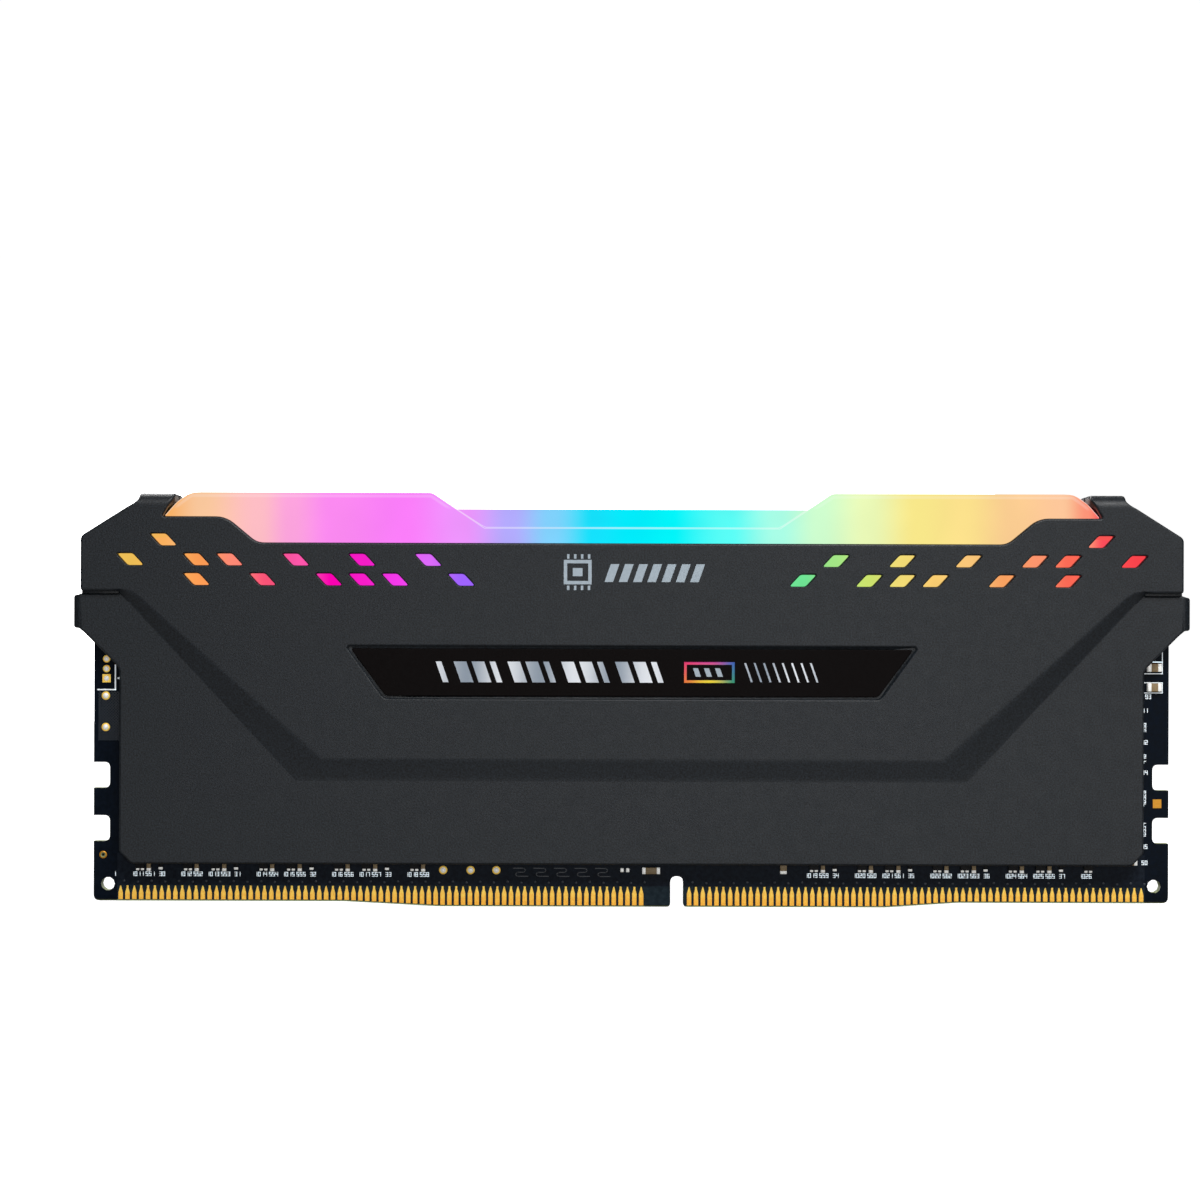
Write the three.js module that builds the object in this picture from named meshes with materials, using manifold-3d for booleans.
// A desktop memory module: a circuit board with gold edge contacts, between two stamped heat
// spreaders that are stepped out over its upper half, with a translucent light bar along the top.
//
// Millimetres. +Z is up out of the socket, +X runs along the card and the front face looks to -Y.
// The origin is the middle of the card edge's bottom face. Depths are distances from the card's
// middle plane, so a front piece lies between -far and -near on Y, and a back piece is the front
// piece turned half a turn about Z.

import * as THREE from 'three';
import { mergeVertices } from 'three/addons/utils/BufferGeometryUtils.js';
import Module from 'manifold-3d';

const wasm = await Module();
wasm.setup();

// ---- Driving dimensions ----

const CARD = {
  halfLength: 66.675,
  halfThickness: 0.7,
  top: 43.5,
  corner: 0.8,
  edgeRise: 0.6, // how much higher the card edge is at its ends than in its middle
  leftSlope: [-35.6, -23.8],
  rightSlope: [31.5, 40.5],
};
const EDGE_BEVEL = { depth: 0.15, height: 0.17 };
const KEY = { x: 5.68, halfWidth: 0.8, top: 3.81, mouth: 0.5 };
const LATCH = { depth: 2.0, height: 3.2, bottoms: [8.0, 14.6], corner: 0.7 };
const TOOLING_HOLE = { x: 64.9, z: 2.7, radius: 0.85 };

const CONTACT = {
  pitch: 0.85,
  width: 0.62,
  thickness: 0.05,
  top: 2.5,
  edgeGap: EDGE_BEVEL.height,
  spine: 0.12, // height of the plating bar that joins a row
};
const CONTACT_RUNS = { left: { firstX: -63.325, count: 77 }, right: { firstX: 7.225, count: 67 } };

const SHEET = 1.0; // thickness of the stamped spreader
const LOW = 2.2; // depth of the inside of the spreader's lower region
const HIGH = 3.0; // depth of the inside of its stepped-out panel
const MIDDLE_GAP = 0.15; // from the middle plane to a bent tab or flange
const SLIT = { z: 38.84, halfWidth: 0.15, innerX: 63.2 };
const TONGUE = { low: 38.24, high: 39.29, near: 2.25, far: 2.95 }; // closes the slit from behind
const SKIRT = {
  halfLength: 63.1,
  bottom: 5.38,
  cut: 1.5,
  shoulderLow: 29.5,
  shoulderX: 67.8,
  shoulderHigh: 34.2,
  round: 0.5,
};
const STEP_OUT = { lowX: 41.3, lowZ: 15.7, highX: 37.9, highZ: 18.6, topHighX: 60.0, top: 39.1 };
const FLANGE = { rootX: 66.5, outerX: 68.87, low: 34.4, high: 38.5, bend: 0.8 };
const TAB = { innerX: 56.3, outerX: 60.7, top: 51.06, bend: 1.75 };
const LIGHT_HOLE = { firstX: 61.7, pitch: 4.07, side: 2.08, height: 1.62, lean: 1.13 };
const LIGHT_HOLE_ROWS = [
  { z: 45.3, columns: [1] },
  { z: 42.87, columns: [0, 2, 3, 5, 7, 9] },
  { z: 40.44, columns: [2, 4, 6, 7, 8, 10] },
];
const PANEL = { halfLength: 67.75, sideTop: 45.7, cutX: 61.1, cutTop: 49.9, round: 0.4 };
const RECESS = { z: 44.96, floorX: 46.1, ledge: 48.15, ledgeX: 49.95, tipX: 57.75, round: 1.0 };
const BADGE = {
  top: 31.98,
  bottom: 26.15,
  topX: 34.55,
  bottomX: 30.25,
  rim: 0.33, // between the badge and the edge of its recess
  inset: 0.3,
  thickness: 0.2,
};

const BAR = {
  depth: 2.9,
  top: 51.2,
  endX: 54.5,
  endCutX: 56.1,
  endCutZ: 50.0,
  endCutRound: 0.4,
  tipX: 57.5,
  tipZ: 48.4,
  slantTopX: 24.65,
  slantBottomX: 18.2,
  middleZ: 46.88,
  ridgeZ: 49.34,
  ridgeRoot: 0.5, // how far the ridge's block reaches down into the bar
  shoulderX: 64.6,
  shoulderZ: 46.4,
  bottom: 39.4,
  hollowDepth: 1.9,
  hollowTop: 45.2,
  edge: 0.3,
};

const CHIP = { width: 8, height: 11, thickness: 1.1, z: 12.6, firstX: 11.5, pitch: 14.2, perSide: 4 };
const TAPE = { halfLength: 59, low: 7, high: 15.6 };
const SPD_SENSOR = { x: 0, z: CHIP.z, width: 2, height: 3, thickness: 0.75 };
const LED_CONTROLLER = { x: -4, z: 33, width: 5, height: 5, thickness: 0.85 };
const LED_REGULATOR = { x: 6, z: 34, width: 3, height: 1.6, thickness: 1.0 };
const LAMP = { width: 3.2, height: 1.2, thickness: 0.9, z: 42.6, pitch: 11.6, count: 10 };
const ARRAY = { width: 1.1, height: 1.5, thickness: 0.4, z: 5.4 };
// Resistor arrays stand in pairs. There are four pairs left of the key and four right of it.
const ARRAY_PAIRS = { starts: [-60.9, 22.7], count: 4, pitch: 9.36, spacing: 5.95 };
const END_CAPACITOR = { width: 1.7, height: 1.0, thickness: 0.7, x: 64.8, heights: [29.85, 27.4] };

const OVERRUN = 1; // how far a cut runs past what it cuts

// ---- Finishes ----

function finish(color, roughness, metalness = 0) {
  return new THREE.MeshStandardMaterial({ color, roughness, metalness });
}

const finishes = {
  laminate: finish(0x0e121a, 0.5),
  gold: finish(0xebb43c, 0.3, 1),
  powderCoat: finish(0x2c3033, 0.6, 0.2),
  diffuser: finish(0xf2eef0, 0.4),
  badge: finish(0x120d0d, 0.12),
  tape: finish(0x8f9296, 0.9),
  package: finish(0x17181a, 0.6),
  lamp: finish(0xf5f2e6, 0.4),
  resistor: finish(0x1c1c20, 0.35),
  ceramic: finish(0x9a7a5a, 0.5),
};

// ---- Outlines and solids ----

// A closed outline through [x, z, setback] corners. A corner with a setback is cut back by that
// much along both of its sides and rounded.
function outline(corners) {
  const shape = new THREE.Shape();
  corners.forEach(([x, z, setback = 0], i) => {
    const corner = new THREE.Vector2(x, z);
    const before = new THREE.Vector2(...corners.at(i - 1).slice(0, 2));
    const after = new THREE.Vector2(...corners[(i + 1) % corners.length].slice(0, 2));
    const start = corner.clone().add(before.sub(corner).setLength(setback));
    const end = corner.clone().add(after.sub(corner).setLength(setback));
    if (i === 0) shape.moveTo(start.x, start.y);
    else shape.lineTo(start.x, start.y);
    if (setback > 0) shape.quadraticCurveTo(x, z, end.x, end.y);
  });
  shape.closePath();
  return shape;
}

// The full outline of a piece that is alike on both sides, from its +X corners taken bottom to top.
function bothSides(corners) {
  const left = corners.map(([x, z, setback]) => [-x, z, setback]).reverse();
  return [...corners, ...left];
}

function extrude(shape, depth, curveSegments) {
  return new THREE.ExtrudeGeometry(shape, { depth, bevelEnabled: false, curveSegments });
}

// A front plate of an X-Z outline, between two depths.
function plate(shape, near, far, curveSegments = 3) {
  const geometry = extrude(shape, far - near, curveSegments);
  geometry.rotateX(Math.PI / 2);
  geometry.translate(0, -near, 0);
  return geometry;
}

// A front plate whose near outline has other corner places than its far one.
function taperedPlate(nearCorners, farCorners, near, far) {
  const geometry = plate(outline(nearCorners), near, far);
  const position = geometry.attributes.position;
  const middle = -(near + far) / 2;
  for (let i = 0; i < position.count; i++) {
    if (position.getY(i) > middle) continue;
    const corner = nearCorners.findIndex(
      ([x, z]) => Math.hypot(x - position.getX(i), z - position.getZ(i)) < 0.001,
    );
    const [x, z] = farCorners[corner];
    position.setXYZ(i, x, position.getY(i), z);
  }
  return geometry;
}

// A block between two heights of a section drawn in X and depth.
function column(section, low, high) {
  const shape = outline(section.map(([x, depth, setback]) => [x, -depth, setback]));
  const geometry = extrude(shape, high - low, 4);
  geometry.translate(0, 0, low);
  return geometry;
}

// A bar between two places on X of a section drawn in depth and height.
function lengthwise(section, left, right) {
  const shape = outline(section.map(([depth, z, setback]) => [-depth, z, setback]));
  const geometry = extrude(shape, right - left, 5);
  geometry.rotateX(Math.PI / 2);
  geometry.rotateZ(Math.PI / 2);
  geometry.translate(left, 0, 0);
  return geometry;
}

function box(low, high) {
  const size = high.map((value, axis) => value - low[axis]);
  const geometry = new THREE.BoxGeometry(...size);
  geometry.translate(...low.map((value, axis) => value + size[axis] / 2));
  return geometry;
}

function toSolid(geometry) {
  const bare = geometry.clone();
  bare.deleteAttribute('normal');
  bare.deleteAttribute('uv');
  const merged = mergeVertices(bare, 1e-5);
  const vertProperties = Float32Array.from(merged.attributes.position.array);
  const triVerts = Uint32Array.from(merged.index.array);
  return new wasm.Manifold(new wasm.Mesh({ numProp: 3, vertProperties, triVerts }));
}

function toGeometry(solid) {
  const { vertProperties, triVerts } = solid.getMesh();
  const geometry = new THREE.BufferGeometry();
  geometry.setAttribute('position', new THREE.BufferAttribute(vertProperties, 3));
  geometry.setIndex(new THREE.BufferAttribute(triVerts, 1));
  geometry.computeVertexNormals();
  return geometry;
}

const join = (...geometries) => geometries.map(toSolid).reduce((all, next) => all.add(next));

// ---- Assembly ----

const memoryModule = new THREE.Group();

function add(name, geometry, material, isBack = false) {
  const mesh = new THREE.Mesh(geometry, material);
  mesh.name = name;
  if (isBack) mesh.rotation.z = Math.PI;
  memoryModule.add(mesh);
  return mesh;
}

function addBothFaces(name, geometry, material) {
  add(`${name}_front`, geometry, material);
  add(`${name}_back`, geometry, material, true);
}

// ---- Circuit board ----

// Height of the card edge, which bows down towards the socket in its middle.
function edgeHeight(x) {
  const share = (from, to) => THREE.MathUtils.clamp((x - from) / (to - from), 0, 1);
  const left = share(CARD.leftSlope[1], CARD.leftSlope[0]);
  const right = share(CARD.rightSlope[0], CARD.rightSlope[1]);
  return CARD.edgeRise * (left + right);
}

function keyCorners() {
  const left = KEY.x - KEY.halfWidth;
  const right = KEY.x + KEY.halfWidth;
  return [
    [left, 0, KEY.mouth],
    [left, KEY.top, KEY.halfWidth],
    [right, KEY.top, KEY.halfWidth],
    [right, 0, KEY.mouth],
  ];
}

function latchCorners(bottom) {
  const inner = CARD.halfLength - LATCH.depth;
  return [
    [CARD.halfLength, bottom],
    [inner, bottom, LATCH.corner],
    [inner, bottom + LATCH.height, LATCH.corner],
    [CARD.halfLength, bottom + LATCH.height],
  ];
}

function toolingHole(side) {
  const hole = new THREE.Path();
  hole.absarc(side * TOOLING_HOLE.x, TOOLING_HOLE.z, TOOLING_HOLE.radius, 0, 2 * Math.PI, false);
  return hole;
}

// What is cut away along the card edge, where the face falls back towards the socket. It is drawn to
// twice the bevel's size, so that it runs out past the board's face.
function edgeBevel(onFront) {
  const end = CARD.halfLength + OVERRUN;
  const line = (rise) => [
    [end, CARD.edgeRise + rise],
    [CARD.rightSlope[1], CARD.edgeRise + rise],
    [CARD.rightSlope[0], rise],
    [CARD.leftSlope[1], rise],
    [CARD.leftSlope[0], CARD.edgeRise + rise],
    [-end, CARD.edgeRise + rise],
    [-end, -OVERRUN],
    [end, -OVERRUN],
  ];
  const inner = CARD.halfThickness - EDGE_BEVEL.depth;
  const outer = CARD.halfThickness + EDGE_BEVEL.depth;
  const raised = line(2 * EDGE_BEVEL.height);
  if (onFront) return taperedPlate(line(0), raised, inner, outer);
  return taperedPlate(raised, line(0), -outer, -inner);
}

function circuitBoard() {
  const end = [
    [CARD.halfLength, CARD.edgeRise, CARD.corner],
    ...LATCH.bottoms.flatMap(latchCorners),
    [CARD.halfLength, CARD.top, CARD.corner],
  ];
  const otherEnd = end.map(([x, z, setback]) => [-x, z, setback]).reverse();
  const shape = outline([
    [CARD.leftSlope[0], CARD.edgeRise],
    [CARD.leftSlope[1], 0],
    ...keyCorners(),
    [CARD.rightSlope[0], 0],
    [CARD.rightSlope[1], CARD.edgeRise],
    ...end,
    ...otherEnd,
  ]);
  shape.holes.push(toolingHole(-1), toolingHole(1));
  const board = toSolid(plate(shape, -CARD.halfThickness, CARD.halfThickness, 5));
  return toGeometry(board.subtract(join(edgeBevel(true), edgeBevel(false))));
}

add('pcb', circuitBoard(), finishes.laminate);

// ---- Gold contacts ----

// One row of contacts, standing on the narrow plating bar that joins them along the card edge.
function contactRow({ firstX, count }, near) {
  const fingers = [];
  const barBottom = [];
  for (let i = 0; i < count; i++) {
    const x = firstX + i * CONTACT.pitch;
    const left = x - CONTACT.width / 2;
    const right = x + CONTACT.width / 2;
    const gapFloor = edgeHeight(x) + CONTACT.edgeGap + CONTACT.spine;
    fingers.push([right, gapFloor], [right, CONTACT.top], [left, CONTACT.top], [left, gapFloor]);
    barBottom.push([x, edgeHeight(x) + CONTACT.edgeGap]);
  }
  const lastX = firstX + (count - 1) * CONTACT.pitch;
  const start = [firstX - CONTACT.width / 2, edgeHeight(firstX) + CONTACT.edgeGap];
  const end = [lastX + CONTACT.width / 2, edgeHeight(lastX) + CONTACT.edgeGap];
  const bends = barBottom.filter(([x]) => {
    const slopeChange = edgeHeight(x - CONTACT.pitch) + edgeHeight(x + CONTACT.pitch) - 2 * edgeHeight(x);
    return Math.abs(slopeChange) > 0.001;
  });
  // Fingers are listed from right to left, so that the whole outline runs one way round.
  const tops = [];
  for (let i = count - 1; i >= 0; i--) tops.push(...fingers.slice(4 * i, 4 * i + 4));
  return plate(outline([start, ...bends, end, ...tops]), near, near + CONTACT.thickness);
}

for (const [side, run] of Object.entries(CONTACT_RUNS)) {
  add(`contacts_front_${side}`, contactRow(run, CARD.halfThickness), finishes.gold);
  add(`contacts_back_${side}`, contactRow(run, -CARD.halfThickness - CONTACT.thickness), finishes.gold);
}

// ---- Heat spreaders ----

function lowerSheet() {
  const corners = bothSides([
    [SKIRT.halfLength - SKIRT.cut, SKIRT.bottom],
    [SKIRT.halfLength, SKIRT.bottom + SKIRT.cut],
    [SKIRT.halfLength, SKIRT.shoulderLow, SKIRT.round],
    [SKIRT.shoulderX, SKIRT.shoulderHigh],
    [SKIRT.shoulderX, SLIT.z - SLIT.halfWidth],
    [SLIT.innerX, SLIT.z - SLIT.halfWidth],
    [SLIT.innerX, STEP_OUT.top],
  ]);
  return plate(outline(corners), LOW, LOW + SHEET);
}

function stepOutCorners(lowX, lowZ, topX) {
  return bothSides([
    [lowX, lowZ],
    [topX, SLIT.z],
    [topX, STEP_OUT.top],
  ]);
}

// The stepped-out middle, with the sloping band round its foot.
function stepOut(near) {
  const foot = stepOutCorners(STEP_OUT.lowX, STEP_OUT.lowZ, SLIT.innerX);
  const face = stepOutCorners(STEP_OUT.highX, STEP_OUT.highZ, STEP_OUT.topHighX);
  return taperedPlate(foot, face, near, near + HIGH - LOW);
}

// The panel above the slit, with the light bar's recess in its top edge.
function upperPanel() {
  const corners = bothSides([
    [SLIT.innerX, SLIT.z + SLIT.halfWidth],
    [PANEL.halfLength, SLIT.z + SLIT.halfWidth],
    [PANEL.halfLength, PANEL.sideTop, PANEL.round],
    [PANEL.cutX, PANEL.cutTop],
    [TAB.outerX, TAB.top - TAB.bend],
    [TAB.innerX, TAB.top - TAB.bend],
    [RECESS.tipX, RECESS.ledge],
    [RECESS.ledgeX, RECESS.ledge, RECESS.round],
    [RECESS.floorX, RECESS.z, RECESS.round],
  ]);
  return plate(outline(corners), HIGH, HIGH + SHEET);
}

// A tab on top, bent back towards the one on the other spreader.
function topTab(left, right) {
  const bendZ = TAB.top - TAB.bend;
  const inner = TAB.bend - SHEET;
  const section = [
    [HIGH, bendZ],
    [HIGH + SHEET, bendZ],
    [HIGH + SHEET, TAB.top, TAB.bend],
    [MIDDLE_GAP, TAB.top],
    [MIDDLE_GAP, TAB.top - SHEET],
    [HIGH, TAB.top - SHEET, inner],
  ];
  return lengthwise(section, left, right);
}

// An end flange, bent back round the card's end.
function endFlange(side) {
  const inner = FLANGE.outerX - SHEET;
  const section = [
    [side * FLANGE.rootX, LOW],
    [side * inner, LOW],
    [side * inner, MIDDLE_GAP],
    [side * FLANGE.outerX, MIDDLE_GAP],
    [side * FLANGE.outerX, LOW + SHEET, FLANGE.bend],
    [side * FLANGE.rootX, LOW + SHEET],
  ];
  return column(side > 0 ? section.reverse() : section, FLANGE.low, FLANGE.high);
}

// The tongue of sheet behind a slit.
function slitTongue(side) {
  const ends = [side * SLIT.innerX, side * PANEL.halfLength];
  return box([Math.min(...ends), -TONGUE.far, TONGUE.low], [Math.max(...ends), -TONGUE.near, TONGUE.high]);
}

// A slanted light hole, leaning away from the middle of the card.
function lightHole(x, z) {
  const lean = Math.sign(x) * LIGHT_HOLE.lean / 2;
  const half = LIGHT_HOLE.side / 2;
  const low = z - LIGHT_HOLE.height / 2;
  const high = z + LIGHT_HOLE.height / 2;
  const corners = [
    [x - lean - half, low],
    [x - lean + half, low],
    [x + lean + half, high],
    [x + lean - half, high],
  ];
  return plate(outline(corners), HIGH - OVERRUN, HIGH + SHEET + OVERRUN);
}

function lightHoles() {
  return LIGHT_HOLE_ROWS.flatMap(({ z, columns }) =>
    columns.flatMap((k) => {
      const x = LIGHT_HOLE.firstX - k * LIGHT_HOLE.pitch;
      return [lightHole(-x, z), lightHole(x, z)];
    }),
  );
}

function badgeCorners(margin) {
  return bothSides([
    [BADGE.bottomX + margin, BADGE.bottom - margin],
    [BADGE.topX + margin, BADGE.top + margin],
  ]);
}

function heatSpreader() {
  const lower = join(lowerSheet(), stepOut(LOW + SHEET)).subtract(toSolid(stepOut(LOW)));
  const bent = join(
    upperPanel(),
    topTab(TAB.innerX, TAB.outerX),
    topTab(-TAB.outerX, -TAB.innerX),
    endFlange(1),
    endFlange(-1),
    slitTongue(1),
    slitTongue(-1),
  );
  const face = HIGH + SHEET;
  const recess = plate(outline(badgeCorners(BADGE.rim)), face - BADGE.inset, face + OVERRUN);
  return toGeometry(lower.add(bent).subtract(join(recess, ...lightHoles())));
}

addBothFaces('heat_spreader', heatSpreader(), finishes.powderCoat);

const badgeFloor = HIGH + SHEET - BADGE.inset;
const badge = plate(outline(badgeCorners(0)), badgeFloor, badgeFloor + BADGE.thickness);
addBothFaces('label', badge, finishes.badge);

// ---- Light bar ----

function barOutline() {
  return outline(
    bothSides([
      [BAR.shoulderX, BAR.bottom],
      [BAR.shoulderX, BAR.shoulderZ, BAR.edge],
      [BAR.tipX, BAR.shoulderZ],
      [BAR.tipX, BAR.tipZ],
      [BAR.endCutX, BAR.endCutZ, BAR.endCutRound],
      [BAR.endX, BAR.top, BAR.edge],
      [BAR.slantTopX, BAR.top, BAR.edge],
      [BAR.slantBottomX, BAR.middleZ],
    ]),
  );
}

// The ridge along the bar's lower middle, whose ends run into the two slants.
function middleRidge() {
  const slope = (BAR.top - BAR.middleZ) / (BAR.slantTopX - BAR.slantBottomX);
  const endX = BAR.slantBottomX + (BAR.ridgeZ - BAR.middleZ) / slope + BAR.edge;
  const base = BAR.middleZ - BAR.ridgeRoot;
  const section = [
    [-BAR.depth, base],
    [-BAR.depth, BAR.middleZ],
    [0, BAR.ridgeZ],
    [BAR.depth, BAR.middleZ],
    [BAR.depth, base],
  ];
  return lengthwise(section, -endX, endX);
}

// The bar straddles the top of the board, and its skirts hang behind the light holes.
function lightBar() {
  const body = join(plate(barOutline(), -BAR.depth, BAR.depth), middleRidge());
  const far = CARD.halfLength + OVERRUN;
  const hollow = box([-far, -BAR.hollowDepth, BAR.bottom - OVERRUN], [far, BAR.hollowDepth, BAR.hollowTop]);
  return toGeometry(body.subtract(toSolid(hollow)));
}

add('light_bar', lightBar(), finishes.diffuser);

// ---- Parts on the board ----

// A part soldered flat on the front of the board.
function boardPart({ x, z, width, height, thickness }) {
  const near = CARD.halfThickness;
  return box([x - width / 2, -near - thickness, z - height / 2], [x + width / 2, -near, z + height / 2]);
}

const chipPlaces = [];
for (let i = CHIP.perSide - 1; i >= 0; i--) chipPlaces.push(-CHIP.firstX - i * CHIP.pitch);
for (let i = 0; i < CHIP.perSide; i++) chipPlaces.push(CHIP.firstX + i * CHIP.pitch);

chipPlaces.forEach((x, i) => {
  const chip = boardPart({ ...CHIP, x });
  add(`dram_chip_front_${i + 1}`, chip, finishes.package);
  add(`dram_chip_back_${i + 1}`, chip, finishes.package, true);
});

const chipTop = CARD.halfThickness + CHIP.thickness;
const tape = box([-TAPE.halfLength, -LOW, TAPE.low], [TAPE.halfLength, -chipTop, TAPE.high]);
addBothFaces('thermal_tape', tape, finishes.tape);

add('spd_sensor', boardPart(SPD_SENSOR), finishes.package);
add('led_controller', boardPart(LED_CONTROLLER), finishes.package);
add('led_regulator', boardPart(LED_REGULATOR), finishes.package);

for (let i = 0; i < LAMP.count; i++) {
  const x = (i - (LAMP.count - 1) / 2) * LAMP.pitch;
  add(`led_${i + 1}`, boardPart({ ...LAMP, x }), finishes.lamp);
}

function arrayPlaces() {
  const { starts, count, pitch, spacing } = ARRAY_PAIRS;
  const pairs = starts.flatMap((start) => Array.from({ length: count }, (_, i) => start + i * pitch));
  return pairs.flatMap((x) => [x, x + spacing]);
}

arrayPlaces().forEach((x, i) => {
  add(`resistor_array_${i + 1}`, boardPart({ ...ARRAY, x }), finishes.resistor);
});

END_CAPACITOR.heights.forEach((z, i) => {
  add(`end_capacitor_${i + 1}`, boardPart({ ...END_CAPACITOR, z }), finishes.ceramic);
});

export default memoryModule;
